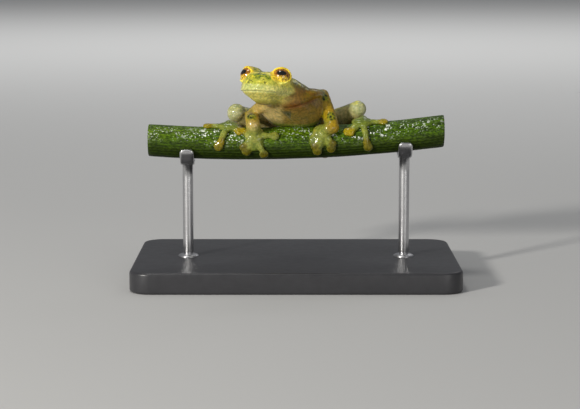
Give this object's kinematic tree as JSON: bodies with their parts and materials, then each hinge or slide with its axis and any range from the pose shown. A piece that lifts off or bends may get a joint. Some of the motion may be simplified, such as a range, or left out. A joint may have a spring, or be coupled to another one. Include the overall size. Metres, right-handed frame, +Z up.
{
  "type": "glass frog model on a display stand",
  "caption": "Life-size still model of a glass frog gripping a short cut length of green stem, held by a flat base and slim rods.",
  "frame": {"origin": "centre of the stand's underside, on the surface that the model stands on", "axes": "+X along the stem towards the frog's left side, +Y behind the frog, +Z up; the frog faces -Y with its head turned towards -X"},
  "size_m": [0.046, 0.03, 0.0308],
  "materials": {
    "skin_head": "wet lime-green skin with darker green flecks",
    "skin_body": "wet translucent skin, grey-beige belly and yellow-green back",
    "skin_limb": "wet translucent amber to pale green skin",
    "skin_toes": "wet translucent pale green skin with yellow disc tips",
    "eye_gold": "glossy golden iris with a black oval pupil",
    "stem_green": "dewy green plant stem with fine lengthwise ridges",
    "stand_dark": "satin black",
    "stand_steel": "satin"
  },
  "bodies": {
    "root": {"head": "skin_head", "eye_left": "eye_gold", "eye_right": "eye_gold", "torso": "skin_body", "upper_arm_left": "skin_limb", "upper_arm_right": "skin_limb", "forearm_left": "skin_limb", "forearm_right": "skin_limb", "hand_left": "skin_toes", "hand_right": "skin_toes", "thigh_left": "skin_limb", "thigh_right": "skin_limb", "shank_left": "skin_limb", "shank_right": "skin_limb", "tarsus_left": "skin_limb", "tarsus_right": "skin_limb", "foot_left": "skin_toes", "foot_right": "skin_toes", "perch_stem": "stem_green", "stand_base": "stand_dark", "stand_rod_left": "stand_steel", "stand_rod_right": "stand_steel"}
  },
  "joints": []
}
